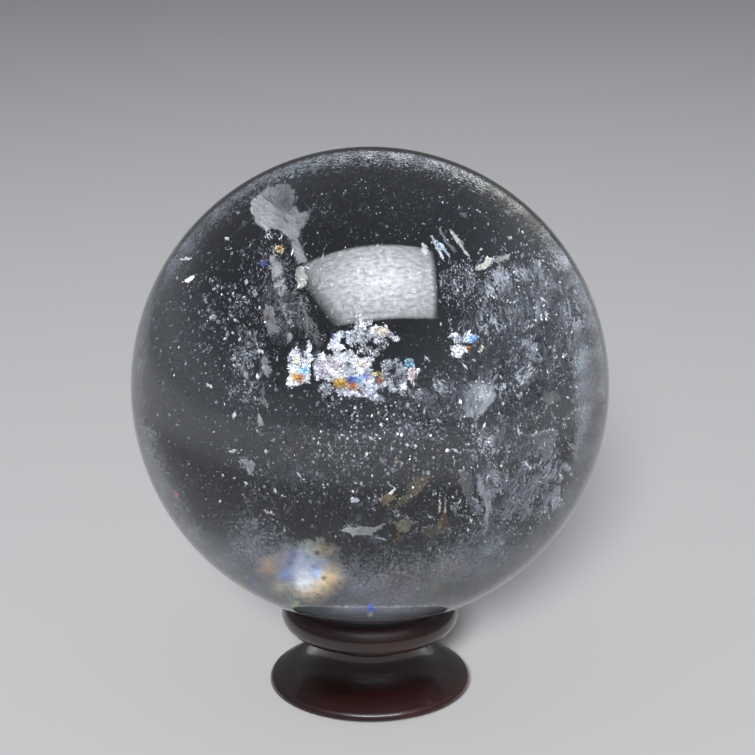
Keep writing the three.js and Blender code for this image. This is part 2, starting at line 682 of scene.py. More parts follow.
crystalDraw = {
    "sides": 4,
    "flat": 0.6,  # thickness against width
    "nod": (0.2, 0.45),  # radians that they lean towards the back, and its spread
    "smallBias": 2,  # above 1, small ones outnumber large ones
    "crowdGain": 1.6,
    "strays": 0.8,  # how many keep to no crowd
    "spareCrowds": 0.4,
    "offFilm": 0.006,  # how far they lie off the film in depth
    "paintedGlintFrom": 1.1,  # lighter ones than this get more painted glint
}


def unevenPlace(x, y, kind, facts):
    # where a noise is read for a pixel, so that films at other depths differ
    scale, layers = uneven[kind]
    return Vector((x * scale, y * scale, facts["depth"] * layers))


def ovalOutline(x, y, halfWidth, halfHeight, turn):
    points = []
    for index in range(ovalPoints):
        angle = 2 * math.pi * index / ovalPoints
        across, down = halfWidth * math.cos(angle), halfHeight * math.sin(angle)
        leanX, leanY = math.cos(math.radians(turn)), math.sin(math.radians(turn))
        points.append((x + across * leanX - down * leanY, y + across * leanY + down * leanX))
    return tuple(points)


def bandOutline(first, last, inner, outer):
    angles = [math.radians(angle) for angle in range(first, last + 1, bandStep)]
    places = [(angle, outer) for angle in angles] + [(angle, inner) for angle in angles[::-1]]
    reach = photoView["ballPixels"]
    return tuple(
        (
            photoView["ballX"] + math.cos(angle) * share * reach,
            photoView["ballY"] - math.sin(angle) * share * reach,
        )
        for angle, share in places
    )


def insideOutline(x, y, outline):
    inside = False
    for (ax, ay), (bx, by) in zip(outline, outline[1:] + outline[:1]):
        if (ay > y) != (by > y) and x < ax + (bx - ax) * (y - ay) / (by - ay):
            inside = not inside
    return inside


def edgeDistance(x, y, outline):
    nearest = math.inf
    for (ax, ay), (bx, by) in zip(outline, outline[1:] + outline[:1]):
        runX, runY = bx - ax, by - ay
        share = ((x - ax) * runX + (y - ay) * runY) / (runX**2 + runY**2)
        share = min(1.0, max(0.0, share))
        nearest = min(nearest, math.hypot(x - ax - runX * share, y - ay - runY * share))
    return nearest


def filmDepth(x, y, facts):
    outline = facts["outline"]
    fromX = x - sum(px for px, _ in outline) / len(outline)
    fromY = y - sum(py for _, py in outline) / len(outline)
    ripple = noise.noise(unevenPlace(x, y, "ripple", facts))
    crease = noise.noise(unevenPlace(x, y, "crease", facts))
    scale = uneven["facetScale"]
    facet = noise.cell(Vector((x * scale, y * scale, uneven["facetLayer"]))) - 0.5
    depth = facts["depth"] + facts["slantX"] * fromX + facts["slantY"] * fromY
    depth += ripple * facts["ripple"] + (crease + uneven["facetShare"] * facet) * facts["crumple"]
    return min(uneven["deepest"], max(uneven["shallowest"], depth))


def filmTint(x, y, facts):
    tint = Vector(facts["tint"])
    for spotX, spotY, reach, colour in facts["accents"]:
        near = max(0.0, 1.0 - math.hypot(x - spotX, y - spotY) / reach)
        tint = tint.lerp(Vector(colour), near ** facts["blend"])
    return tint


def wander(x, y, facts):
    # the outline is drawn raggedly by looking it up a little off the pixel
    drift = noise.noise_vector(unevenPlace(x, y, "drift", facts))
    fine = noise.noise_vector(unevenPlace(x, y, "fine", facts))
    amount, share = facts["ragged"], uneven["fineShare"]
    return x + (drift.x + fine.x * share) * amount, y + (drift.y + fine.y * share) * amount


def outlineBox(outline, margin):
    lowX, highX = min(x for x, _ in outline), max(x for x, _ in outline)
    lowY, highY = min(y for _, y in outline), max(y for _, y in outline)
    return lowX - margin, highX + margin, lowY - margin, highY + margin


def addFilm(sheet, facts):
    outline = facts["outline"]
    step = facts["step"]
    lowX, highX, lowY, highY = outlineBox(outline, facts["ragged"])
    grid = {}
    for column in range(int((highX - lowX) / step) + 1):
        for row in range(int((highY - lowY) / step) + 1):
            x, y = lowX + column * step, lowY + row * step
            drawnX, drawnY = wander(x, y, facts)
            tooFar = outwardShare(x, y) > photoView["rimShare"]
            if tooFar or not insideOutline(drawnX, drawnY, outline):
                continue
            thin = min(1.0, edgeDistance(drawnX, drawnY, outline) / facts["soft"])
            toRim = (photoView["rimShare"] - outwardShare(x, y)) / photoView["rimFade"]
            grid[column, row] = len(sheet["points"])
            sheet["points"].append(placeInStone(x, y, filmDepth(x, y, facts)))
            sheet["cover"].append(facts["cover"] * thin * min(1.0, toRim))
            sheet["tint"].extend((*filmTint(x, y, facts), facts["glow"]))
    for (column, row), corner in grid.items():
        right = grid.get((column + 1, row))
        below = grid.get((column, row + 1))
        across = grid.get((column + 1, row + 1))
        if right is not None and across is not None:
            sheet["faces"].append((corner, right, across))
        if below is not None and across is not None:
            sheet["faces"].append((corner, across, below))


def newGrain(draw, place, tint, size, stretch, lean, flat, paintedGlint):
    # one crystal: where it is, its colour and its painted glint, its turn and its half widths
    turn = (
        Matrix.Rotation(math.radians(lean), 3, "Y")
        @ Matrix.Rotation(draw.gauss(*crystalDraw["nod"]), 3, "X")
        @ Matrix.Rotation(draw.uniform(0, 2 * math.pi), 3, "Z")
    )
    return {
        "at": place,
        "tint": (*tint, paintedGlint),
        "tilt": tuple(turn.to_euler("XYZ")),
        "grow": tuple(v * size * millimetre for v in (1.0, flat, stretch)),
    }


def addGrains(grains, facts, draw):
    outline = facts["outline"]
    smallest, largest = facts["grainSize"]
    lowX, highX, lowY, highY = outlineBox(outline, 0)
    for _ in range(int((highX - lowX) * (highY - lowY) * facts["grains"])):
        x, y = draw.uniform(lowX, highX), draw.uniform(lowY, highY)
        size = smallest + (largest - smallest) * draw.random() ** crystalDraw["smallBias"]
        stretch = draw.uniform(*facts["grainStretch"])
        lean = draw.gauss(facts["lean"], facts["leanSpread"])
        shade = draw.uniform(*facts["shades"])
        chance = draw.random()
        if not insideOutline(*wander(x, y, facts), outline):
            continue
        crowd = noise.noise(unevenPlace(x, y, "crowd", facts)) * crystalDraw["crowdGain"]
        stray = (chance - 0.5) * crystalDraw["strays"]
        if crowd < stray - crystalDraw["spareCrowds"] + facts["crowding"]:
            continue
        depth = filmDepth(x, y, facts) + draw.gauss(0, crystalDraw["offFilm"])
        tint = filmTint(x, y, facts) * shade
        paintedGlint = max(facts["paintedGlint"], tint.length - crystalDraw["paintedGlintFrom"])
        place = placeInStone(x, y, depth)
        flat = crystalDraw["flat"]
        grains.append(newGrain(draw, place, tint, size, stretch, lean, flat, paintedGlint))


def finishFilms(name, group, film, grain, tree):
    # one piece of films and one of the crystals on them
    draw = random.Random(group["seed"])
    sheet = {"points": [], "faces": [], "cover": [], "tint": []}
    grains = []
    for shape in group["shapes"]:
        facts = {**filmShape, **group["defaults"]}
        facts["depth"] += draw.uniform(-facts["anyDepth"], facts["anyDepth"])
        facts["slantX"] += draw.uniform(-facts["anySlant"], facts["anySlant"])
        facts["slantY"] += draw.uniform(-facts["anySlant"], facts["anySlant"])
        facts.update(shape)
        if "oval" in shape:
            facts["outline"] = ovalOutline(*shape["oval"])
        if "band" in shape:
            facts["outline"] = bandOutline(*shape["band"])
        if facts["cover"] > 0:
            addFilm(sheet, facts)
        addGrains(grains, facts, draw)
    mesh = bpy.data.meshes.new(name)
    mesh.from_pydata(sheet["points"], [], sheet["faces"])
    mesh.attributes.new("cover", "FLOAT", "POINT").data.foreach_set("value", sheet["cover"])
    mesh.attributes.new("tint", "FLOAT_COLOR", "POINT").data.foreach_set("color", sheet["tint"])
    mesh.polygons.foreach_set("use_smooth", [True] * len(mesh.polygons))
    mesh.materials.append(film)
    solid = addPiece(name, mesh).modifiers.new("thin", "SOLIDIFY")
    solid.thickness = filmThickness * millimetre
    solid.offset = 0
    if grains:
        growCrystals(name + "_crystals", grains, tree, grain)


# Crystals: points with a size, a turn and a colour, grown into small closed bipyramids


def crystalTree():
    start, given = startTree("scatterCrystals", {"Sides": "Int", "Finish": "Material"})
    inputs = {"Segments": given["Sides"], "Rings": 2, "Radius": 1.0}
    crystal = start.make("GeometryNodeMeshUVSphere", inputs=inputs)
    tilt = namedField(start, "tilt", "FLOAT_VECTOR")
    inputs = {
        "Points": given["Geometry"],
        "Instance": crystal,
        "Rotation": start.make("FunctionNodeEulerToRotation", inputs={0: tilt}),
        "Scale": namedField(start, "grow", "FLOAT_VECTOR"),
    }
    copies = start.make("GeometryNodeInstanceOnPoints", inputs=inputs)
    return endTree(start, copies, given["Finish"], False)


def growCrystals(name, grains, tree, material):
    seeds = bpy.data.meshes.new(name + "_seeds")
    seeds.from_pydata([grain["at"] for grain in grains], [], [])
    layers = (("tint", "FLOAT_COLOR", "color"), ("tilt", "FLOAT_VECTOR", "vector"),
              ("grow", "FLOAT_VECTOR", "vector"))
    for key, kind, field in layers:
        values = [part for grain in grains for part in grain[key]]
        seeds.attributes.new(key, kind, "POINT").data.foreach_set(field, values)
    values = {"Sides": crystalDraw["sides"], "Finish": material}
    addPiece(name, growMesh(name, seeds, tree, values))


# Finishes of the flaws


filmLook = {
    "opacity": 0.9,
    "grain": 1800.0,
    "gain": 6.0,  # how crisp its wisps are
    "contrast": 0.8,
    "patchy": 0.4,  # how much it gathers in patches
    "patchScale": 0.2,  # against the grain's, so that they are five grains wide
    "coverGain": 0.45,  # how far the cover closes the wisps over
    "wispsFrom": 0.70,
    "rough": 0.5,
    "hues": 0.0,  # how far its colour wanders
    "hueScale": 420.0,
    "stretch": (1, 1, 1),
}
crystalLook = {
    "speckleScale": 2500.0,
    "darkest": 0.8,
    "speckle": 0.4,
}


def filmFinish(name, **changes):
    # wisps as wide as the grain: few where the cover is low, closed over where it is high;
    # the tint's fourth part is the film's painted glow, emission that lightens it beyond what the lamps
    # give
    look = {**filmLook, **changes}
    material, start = startMaterial(name)
    material.cycles.emission_sampling = "NONE"
    grain, patchy = look["grain"], look["patchy"]
    fine = stoneNoise(start, grain, detail=4.0, roughness=0.65, stretch=look["stretch"])
    patches = stoneNoise(start, grain * look["patchScale"], detail=3.0)
    pattern = fine * (1 - patchy) + patches * patchy
    colour = readLayer(start, "tint", "Color").scaled(1.0 + (fine - 0.5) * look["contrast"])
    if look["hues"]:
        colour = colour.tinged(stoneNoise(start, look["hueScale"], output=1), look["hues"])
    closed = pattern + readLayer(start, "cover") * look["coverGain"] - look["wispsFrom"]
    inputs = {
        "Base Color": colour,
        "Roughness": look["rough"],
        "Alpha": (closed * look["gain"]).clamped() * look["opacity"],
        "Emission Color": colour.scaled(readLayer(start, "tint", "Alpha")),
        "Emission Strength": 1.0,
    }
    endMaterial(start, Surface=start.make("ShaderNodeBsdfPrincipled", inputs=inputs))
    return material


def crystalFinish(name, rough):
    # the tint's fourth part is a crystal's painted glint: emission for the lamps' glint on it
    material, start = startMaterial(name)
    material.cycles.emission_sampling = "NONE"
    speckle = stoneNoise(start, crystalLook["speckleScale"], detail=2.0)
    light = crystalLook["darkest"] + speckle * crystalLook["speckle"]
    colour = readLayer(start, "tint", "Color").scaled(light)
    inputs = {
        "Base Color": colour,
        "Roughness": rough,
        "Emission Color": colour.scaled(readLayer(start, "tint", "Alpha")),
        "Emission Strength": 1.0,
    }
    endMaterial(start, Surface=start.make("ShaderNodeBsdfPrincipled", inputs=inputs))
    return material


# The plume: a smooth frosted veil like a mushroom's cap on a bent stem

plumeVeil = {
    "seed": 2,
    "defaults": {
        "depth": 0.40, "slantX": 0.002, "slantY": -0.0015, "soft": 4.5, "ragged": 1.8,
        "step": 1.2, "tint": (0.47, 0.47, 0.47), "cover": 0.85, "grains": 0.2,
        "grainSize": (0.03, 0.07), "leanSpread": 10.0,
    },
    "shapes": (
        {"outline": (
            (248, 213), (249, 200), (256, 192), (267, 184), (279, 180), (291, 181), (298, 189),
            (297, 204), (302, 210), (307, 208), (312, 203), (315, 210), (312, 220), (304, 230),
            (301, 239), (307, 250), (311, 262), (297, 268), (293, 258), (289, 247), (284, 238),
            (276, 232), (268, 235), (260, 230), (252, 222),
        ),
         "accents": ((283, 204, 4, (0.26, 0.27, 0.30)), (300, 240, 22, (0.52, 0.51, 0.50)))},
        {"outline": (
            (295, 268), (300, 264), (306, 270), (308, 280), (303, 289), (297, 288), (295, 278),
        ),
         "tint": (0.80, 0.78, 0.70), "cover": 1.0, "soft": 1.5, "ragged": 1.2, "grains": 1.0,
         "grainSize": (0.04, 0.13)},
    ),
}

# Ragged veils of the left side, under the plume

leftVeils = {
    "seed": 3,
    "defaults": {
        "depth": 0.42, "tint": (0.46, 0.45, 0.46), "cover": 0.74, "soft": 4.0, "ragged": 3.6,
        "grains": 0.4, "grainSize": (0.03, 0.09), "grainStretch": (1.0, 2.6), "leanSpread": 18.0,
    },
    "shapes": (
        {"outline": (
            (269, 241), (274, 243), (277, 255), (284, 266), (289, 279), (289, 296), (279, 300),
            (273, 287), (268, 268),
        )},
        {"outline": ((264, 303), (274, 305), (276, 318), (282, 330), (277, 338), (266, 334),
                     (261, 318)),
         "tint": (0.52, 0.51, 0.52), "cover": 0.85, "soft": 2.5, "glow": 0.14},
        {"outline": ((276, 300), (290, 297), (297, 308), (299, 324), (290, 328), (280, 322)),
         "cover": 0.52},
        {"outline": (
            (292, 290), (300, 288), (308, 300), (316, 316), (326, 332), (322, 344), (308, 342),
            (300, 330), (295, 314),
        ),
         "cover": 0.52, "lean": -12, "tint": (0.33, 0.32, 0.32), "soft": 6.0},
        {"outline": (
            (262, 250), (272, 244), (286, 252), (296, 270), (300, 292), (292, 312), (284, 346),
            (268, 344), (260, 322), (266, 296), (262, 272),
        ),
         "cover": 0.50, "depth": 0.50, "tint": (0.44, 0.44, 0.45), "soft": 9.0, "ragged": 5.0},
        {"outline": ((264, 233), (272, 231), (284, 234), (282, 239), (270, 240)),
         "tint": (0.80, 0.80, 0.82), "cover": 0.5, "grains": 1.2},
        {"outline": ((285, 333), (291, 332), (293, 338), (290, 346), (286, 342)),
         "tint": (0.62, 0.62, 0.64), "soft": 1.8},
        {"outline": ((262, 352), (268, 358), (272, 370), (270, 384), (264, 378), (259, 364)),
         "tint": (0.60, 0.60, 0.62), "soft": 1.8},
        {"outline": ((254, 395), (264, 398), (271, 405), (268, 411), (261, 405)),
         "tint": (0.62, 0.60, 0.55), "ragged": 1.2, "soft": 1.8},
        {"outline": ((258, 403), (261, 414), (265, 426), (257, 429), (256, 416)),
         "tint": (0.58, 0.57, 0.53), "ragged": 1.2, "soft": 1.8},
        {"outline": ((237, 459), (246, 456), (257, 456), (258, 471), (250, 478), (243, 473)),
         "lean": -35, "cover": 0.6, "grainStretch": (2.0, 5.0), "tint": (0.58, 0.58, 0.60)},
        {"outline": ((247, 480), (254, 482), (259, 493), (252, 496), (246, 489)), "cover": 0.4},
        {"outline": ((240, 335), (262, 330), (268, 352), (262, 384), (246, 392), (236, 366)),
         "cover": 0.0, "grains": 0.22, "tint": (0.72, 0.73, 0.78)},
        {"outline": ((228, 285), (262, 282), (264, 322), (244, 336), (226, 318)),
         "cover": 0.0, "grains": 0.10, "tint": (0.70, 0.72, 0.74)},
        {"outline": ((244, 236), (268, 238), (268, 290), (250, 292), (240, 262)),
         "cover": 0.0, "grains": 0.16, "tint": (0.55, 0.57, 0.62)},
        {"outline": ((224, 383), (250, 381), (256, 399), (238, 404), (224, 396)),
         "cover": 0.25, "grains": 0.3, "lean": -25, "tint": (0.60, 0.60, 0.66)},
        {"outline": ((318, 392), (325, 396), (334, 405), (331, 409), (322, 401)),
         "lean": -40, "cover": 0.6, "tint": (0.55, 0.54, 0.56)},
        {"outline": ((325, 449), (335, 452), (352, 470), (366, 488), (358, 488), (338, 468)),
         "cover": 0.0, "grains": 0.28, "lean": -38, "leanSpread": 8, "tint": (0.70, 0.70, 0.72)},
    ),
}

# Wisps, plates and striped veils of the right side

rightVeils = {
    "seed": 4,
    "defaults": {
        "depth": 0.42, "tint": (0.64, 0.65, 0.67), "cover": 0.80, "soft": 3.0, "ragged": 2.6,
        "grains": 0.4, "grainSize": (0.03, 0.10), "grainStretch": (1.0, 2.8), "leanSpread": 18.0,
    },
    "shapes": (
        {"outline": (
            (467, 389), (474, 381), (484, 374), (481, 381), (491, 382), (498, 387), (498, 401),
            (493, 405), (481, 417), (476, 425), (472, 432), (471, 419), (455, 421), (462, 411),
            (458, 403),
        ),
         "depth": 0.44, "lean": -35, "accents": ((484, 394, 9, (0.95, 0.93, 0.95)),)},
        {"outline": ((426, 383), (438, 376), (452, 376), (456, 388), (452, 400), (440, 402),
                     (434, 392)),
         "cover": 0.35, "tint": (0.46, 0.46, 0.50)},
        {"outline": ((499, 387), (505, 382), (506, 392), (500, 397)),
         "tint": (0.82, 0.88, 1.0), "soft": 1.5, "grains": 1.6},
        {"outline": (
            (459, 469), (464, 466), (470, 473), (473, 483), (473, 494), (477, 507), (474, 510),
            (467, 503), (463, 494), (460, 486), (456, 483),
        ),
         "tint": (0.50, 0.48, 0.50), "ragged": 1.8, "cover": 0.95, "depth": 0.36,
         "soft": 2.0, "glow": 0.25},
        {"outline": (
            (476, 472), (482, 473), (486, 484), (493, 497), (494, 508), (490, 522), (487, 537),
            (481, 537), (481, 522), (484, 510), (480, 497), (476, 488),
        ),
         "tint": (0.31, 0.31, 0.33), "lean": -14, "ragged": 2.4, "depth": 0.30},
        {"outline": ((502, 457), (507, 458), (512, 467), (517, 477), (517, 484), (510, 480),
                     (504, 469)),
         "tint": (0.60, 0.60, 0.61), "ragged": 1.0, "depth": 0.30},
        {"outline": ((499, 418), (508, 420), (511, 432), (509, 443), (501, 440), (498, 430)),
         "cover": 0.45, "tint": (0.44, 0.46, 0.44)},
        {"outline": ((470, 428), (482, 424), (494, 436), (500, 456), (492, 470), (480, 452)),
         "cover": 0.3, "lean": -20},
        {"outline": ((480, 440), (488, 446), (498, 470), (508, 494), (500, 496), (488, 470)),
         "cover": 0.25, "lean": -22, "grains": 0.5},
        {"outline": (
            (544, 390), (555, 388), (561, 394), (569, 391), (564, 397), (561, 404), (550, 408),
            (543, 403), (539, 397),
        ),
         "tint": (0.46, 0.48, 0.47), "ragged": 2.2, "soft": 4.5, "cover": 1.0, "grains": 0.15,
         "glow": 0.12, "accents": ((554, 398, 8, (0.66, 0.68, 0.66)),)},
        {"outline": (
            (527, 435), (538, 431), (550, 428), (559, 428), (561, 436), (555, 443), (555, 450),
            (544, 455), (537, 451), (533, 443),
        ),
         "tint": (0.68, 0.69, 0.72), "ragged": 1.4,
         "accents": ((534, 433, 4, (1, 1, 1)), (543, 430, 4, (1, 1, 1)), (552, 428, 4, (1, 1, 1)))},
        {"outline": ((561, 420), (565, 416), (571, 412), (580, 407), (584, 408), (573, 415),
                     (567, 419)),
         "tint": (0.80, 0.80, 0.78), "ragged": 1.0, "soft": 1.5},
        {"outline": ((514, 464), (524, 461), (530, 467), (522, 472)), "cover": 0.5,
         "tint": (0.60, 0.54, 0.58)},
        {"outline": ((529, 478), (540, 475), (547, 486), (542, 494), (531, 490)), "cover": 0.4,
         "tint": (0.46, 0.48, 0.46)},
        {"outline": ((502, 500), (520, 498), (536, 508), (548, 504), (540, 518), (520, 522)),
         "cover": 0.35, "tint": (0.44, 0.46, 0.46), "grains": 0.4},
        {"outline": ((520, 338), (530, 334), (540, 346), (545, 362), (536, 366), (524, 356)),
         "cover": 0.5, "tint": (0.50, 0.52, 0.56)},
        {"outline": ((492, 276), (506, 272), (512, 284), (504, 292), (494, 288)),
         "cover": 0.45, "tint": (0.52, 0.56, 0.58)},
        {"outline": ((496, 296), (524, 290), (530, 306), (516, 316), (500, 310)),
         "cover": 0.3, "tint": (0.48, 0.52, 0.52)},
        {"outline": ((438, 262), (470, 258), (476, 284), (462, 300), (440, 296)),
         "cover": 0.25, "grains": 0.45, "lean": -20, "tint": (0.62, 0.64, 0.70)},
        {"outline": ((515, 372), (532, 362), (536, 372), (520, 386)), "cover": 0.2, "lean": 40,
         "leanSpread": 5, "grains": 0.6, "grainStretch": (3.0, 6.0)},
    ),
}

# Frost: wide mottled veils of fine cracks, with dark gaps between their wisps. Ovals are given
# by their middle, half width, half height and turn in degrees.

frostVeils = {
    "seed": 5,
    "defaults": {
        "depth": 0.62, "tint": (0.58, 0.60, 0.64), "cover": 0.42, "soft": 26.0, "ragged": 7.0,
        "step": 3.5, "ripple": 0.05, "grains": 0.05, "grainSize": (0.03, 0.09),
        "grainStretch": (1.0, 2.6), "leanSpread": 24.0, "crowding": 0.34, "shades": (0.5, 1.8),
    },
    "shapes": (
        {"oval": (522, 330, 76, 92, 12), "depth": 0.50, "cover": 0.48, "grains": 0.16},
        {"oval": (530, 315, 48, 66, 14), "depth": 0.64, "cover": 0.50},
        {"oval": (466, 285, 34, 28, 0), "soft": 16.0, "cover": 0.50, "grains": 0.20,
         "tint": (0.58, 0.59, 0.61), "lean": -20},
        {"oval": (455, 402, 70, 36, -6), "soft": 22.0, "cover": 0.54, "grains": 0.14},
        {"oval": (512, 470, 70, 64, -35), "cover": 0.56, "grains": 0.12, "lean": -12},
        {"oval": (540, 500, 46, 30, -40), "depth": 0.46, "soft": 20.0, "cover": 0.50},
        {"oval": (390, 532, 90, 50, 0), "cover": 0.38, "grains": 0.03,
         "tint": (0.36, 0.37, 0.40)},
        {"oval": (278, 296, 40, 62, -18), "soft": 24.0, "cover": 0.42, "grains": 0.04},
        {"oval": (252, 365, 34, 66, -6), "soft": 22.0, "cover": 0.42},
        {"oval": (198, 330, 42, 92, 12), "depth": 0.46, "cover": 0.34, "grains": 0.02},
        {"oval": (286, 478, 66, 48, 25), "cover": 0.40, "grains": 0.04,
         "lean": -40, "tint": (0.40, 0.42, 0.45)},
        {"oval": (385, 205, 112, 38, 4), "depth": 0.50, "soft": 24.0, "cover": 0.28,
         "grains": 0.18, "grainSize": (0.02, 0.045), "grainStretch": (1.5, 4.0), "lean": 8,
         "leanSpread": 7, "crowding": 0.1, "shades": (0.3, 1.0), "tint": (0.24, 0.24, 0.26)},
        {"oval": (372, 432, 78, 36, 0), "soft": 20.0, "cover": 0.40, "grains": 0.06},
        {"oval": (300, 330, 30, 60, -25), "soft": 16.0, "cover": 0.48,
         "grains": 0.03, "lean": -16, "leanSpread": 6, "tint": (0.46, 0.44, 0.44)},
        {"oval": (480, 560, 70, 26, -18), "depth": 0.44, "soft": 18.0, "cover": 0.46,
         "grains": 0.04, "tint": (0.48, 0.50, 0.52)},
    ),
}

# Smooth haze under the polish near the rim. Bands are given by their first and last angle, from
# the right anticlockwise, and their inner and outer share of the outline.

rimHaze = {
    "seed": 10,
    "defaults": {
        "tint": (0.38, 0.40, 0.44), "cover": 0.85, "soft": 26.0, "ragged": 3.0, "step": 2.0,
        "depth": 0.24, "ripple": 0.01, "anySlant": 0.0, "blend": 1.0,
    },
    "shapes": (
        {"band": (216, 324, 0.60, 1.30), "soft": 60.0, "cover": 0.94, "tint": (0.29, 0.31, 0.35),
         "accents": ((430, 590, 60, (0.34, 0.33, 0.29)), (400, 600, 40, (0.32, 0.31, 0.35)))},
        {"band": (186, 354, 0.85, 1.30), "soft": 30.0,
         "accents": ((200, 560, 50, (0.36, 0.43, 0.46)),)},
        # over the stand's dark dish, which shows through the bottom of the ball; it gets no lamplight
        # there, so a painted glow lightens it
        {"outline": ((268, 601), (312, 603), (370, 604), (428, 603), (472, 601), (460, 614),
                     (420, 634), (370, 644), (320, 634), (280, 614)),
         "soft": 5.0, "ragged": 1.5, "cover": 1.5, "tint": (0.36, 0.38, 0.43), "glow": 0.18,
         "depth": 0.15},
        {"band": (-48, 42, 0.86, 1.30), "soft": 28.0, "tint": (0.36, 0.37, 0.40), "glow": 0.05},
        {"outline": ((562, 296), (590, 320), (604, 372), (602, 424), (586, 468), (562, 490),
                     (567, 424), (565, 350)),
         "soft": 18.0, "cover": 1.2, "tint": (0.46, 0.47, 0.51), "glow": 0.13},
        {"band": (138, 228, 0.90, 1.30), "soft": 20.0, "tint": (0.36, 0.38, 0.42)},
        {"band": (30, 156, 0.86, 1.30), "soft": 34.0, "tint": (0.27, 0.28, 0.30), "glow": 0.06,
         "accents": ((515, 205, 95, (0.25, 0.24, 0.17)), (300, 172, 34, (0.25, 0.30, 0.34)))},
    ),
}

# Bright plates and slivers, lightened by a painted glow

paleFlakes = {
    "seed": 6,
    "defaults": {
        "depth": 0.42, "tint": (0.80, 0.79, 0.77), "soft": 1.2, "ragged": 1.0, "step": 0.8,
        "crumple": 0.0015, "grains": 0.9, "grainSize": (0.04, 0.10), "leanSpread": 40.0,
        "glow": 0.22,
    },
    "shapes": (
        {"outline": (
            (339, 531), (345, 527), (352, 527), (366, 526), (376, 527), (380, 524), (385, 524),
            (382, 529), (374, 533), (373, 537), (368, 536), (355, 536), (353, 539), (350, 534),
        ),
         "tint": (0.58, 0.57, 0.56), "grains": 0.35, "ragged": 0.4},
        {"outline": ((447, 225), (452, 230), (460, 239), (466, 249), (471, 257), (466, 256),
                     (459, 246), (452, 236)),
         "tint": (0.72, 0.70, 0.64)},
        {"outline": ((432, 237), (437, 240), (445, 247), (450, 254), (450, 261), (446, 255),
                     (440, 248)),
         "tint": (0.80, 0.90, 0.98), "cover": 0.9},
        {"outline": ((422, 240), (428, 248), (426, 257), (421, 250))},
        {"outline": ((474, 268), (482, 262), (486, 256), (496, 258), (491, 265), (484, 271),
                     (476, 271)),
         "tint": (0.76, 0.75, 0.66), "ragged": 1.8, "cover": 0.8},
        {"outline": ((507, 236), (513, 235), (512, 240), (508, 240))},
        {"outline": ((178, 260), (185, 257), (193, 256), (191, 260), (184, 261))},
        {"outline": ((182, 282), (187, 277), (197, 274), (194, 279), (188, 283)),
         "tint": (0.95, 0.90, 0.82)},
        {"outline": ((174, 279), (178, 276), (178, 280)), "tint": (0.95, 0.90, 0.70)},
        {"outline": ((227, 449), (231, 450), (236, 449), (238, 451), (233, 454), (229, 453)),
         "tint": (0.90, 0.87, 0.78)},
        {"outline": ((263, 509), (271, 511), (279, 516), (273, 515), (266, 513)),
         "tint": (0.75, 0.68, 0.66)},
        {"outline": ((206, 381), (213, 386), (212, 390), (207, 386))},
        {"outline": ((241, 492), (245, 497), (249, 502), (244, 499)), "tint": (0.90, 0.90, 0.66)},
        {"outline": ((283, 524), (286, 527), (286, 536), (283, 531))},
        {"outline": ((445, 239), (449, 238), (448, 243))},
        {"outline": ((541, 478), (548, 473), (552, 474), (545, 479))},
        {"outline": ((536, 466), (541, 459), (543, 460), (539, 466))},
        {"outline": ((388, 494), (393, 488), (386, 484), (387, 482), (395, 487), (397, 489),
                     (391, 496)),
         "tint": (0.98, 0.96, 0.92), "ragged": 0.4},
        {"outline": ((438, 514), (439, 496), (441, 494), (441, 513)), "tint": (0.86, 0.84, 0.76),
         "ragged": 0.4},
        {"outline": ((444, 512), (444, 501), (447, 499), (446, 513)), "tint": (0.95, 0.92, 0.82),
         "ragged": 0.4},
        {"outline": ((450, 508), (454, 502), (459, 504), (456, 512), (457, 519), (453, 514)),
         "ragged": 1.6, "tint": (0.50, 0.50, 0.49), "cover": 0.7},
        {"outline": ((437, 228), (441, 226), (448, 240), (458, 252), (455, 254), (444, 242)),
         "tint": (0.34, 0.34, 0.34), "ragged": 1.6},
        {"outline": ((430, 236), (432, 235), (441, 250), (445, 260), (442, 260), (436, 250)),
         "tint": (0.80, 0.86, 0.92), "ragged": 0.8},
        {"outline": ((490, 262), (498, 256), (512, 252), (510, 258), (498, 264)),
         "tint": (0.38, 0.38, 0.36), "ragged": 1.8},
        {"outline": ((350, 498), (356, 497), (361, 500), (357, 504), (351, 503)),
         "tint": (0.78, 0.78, 0.84)},
    ),
}

# Iron stains, tan to orange, lightened by a painted glow

